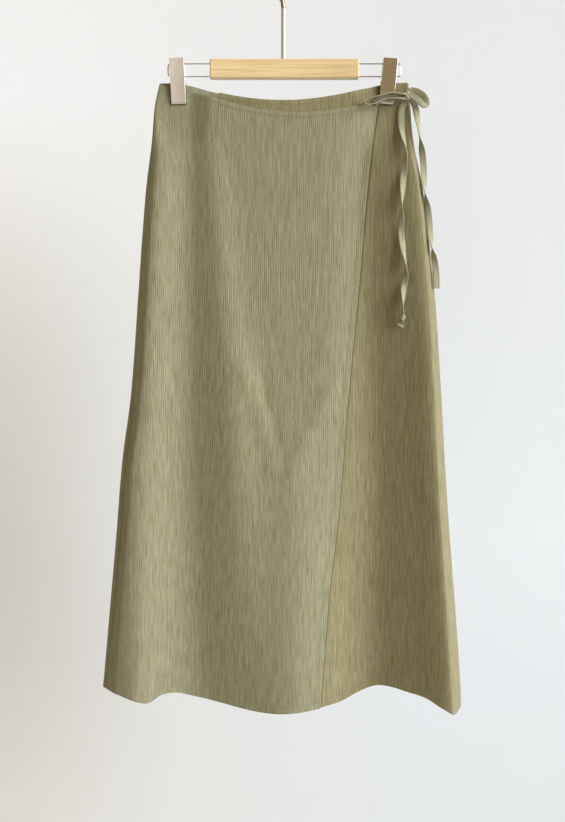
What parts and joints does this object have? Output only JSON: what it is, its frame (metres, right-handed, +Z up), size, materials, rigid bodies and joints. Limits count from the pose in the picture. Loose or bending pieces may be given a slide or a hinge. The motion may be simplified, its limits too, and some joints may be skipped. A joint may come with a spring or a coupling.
{
  "type": "wrap skirt on clip hanger",
  "caption": "long A-line wrap skirt of crinkle crepe, tied in a small bow at the hip, hung by its waist from a wooden hanger with metal clips",
  "frame": {"origin": "the inner top of the hook, where it rests on a rail", "axes": "+X to the right of the front view, the front faces -Y, +Z up"},
  "size_m": [0.4929, 0.125, 1.0185],
  "materials": {
    "crepe_overlap": "khaki green crinkle crepe with fine upright ribs",
    "crepe_under": "khaki green crinkle crepe with fine upright ribs",
    "crepe_back": "khaki green crinkle crepe with fine upright ribs",
    "crepe_tie": "khaki green crepe, folded and pressed into a narrow band",
    "bar_wood": "pale beech under clear satin varnish",
    "stem_metal": "pale champagne lacquer",
    "hook_metal": "dark bronze tone",
    "rail_metal": "bright nickel wire",
    "clip_metal": "polished pale champagne plate"
  },
  "bodies": {
    "root": {"front_overlap": "crepe_overlap", "front_under": "crepe_under", "back_panel": "crepe_back", "tie_strap": "crepe_tie", "bow_loop_left": "crepe_tie", "bow_loop_right": "crepe_tie", "bow_knot": "crepe_tie", "tie_tail_front": "crepe_tie", "tie_end_knot": "crepe_tie", "tie_end": "crepe_tie", "tie_tail_back": "crepe_tie", "hanger_bar": "bar_wood", "hanger_stem": "stem_metal", "hanger_hook": "hook_metal", "left_rail": "rail_metal", "right_rail": "rail_metal", "left_clip_front_jaw": "clip_metal", "left_clip_back_jaw": "clip_metal", "left_clip_spring": "hook_metal", "right_clip_front_jaw": "clip_metal", "right_clip_back_jaw": "clip_metal", "right_clip_spring": "hook_metal"}
  },
  "joints": []
}
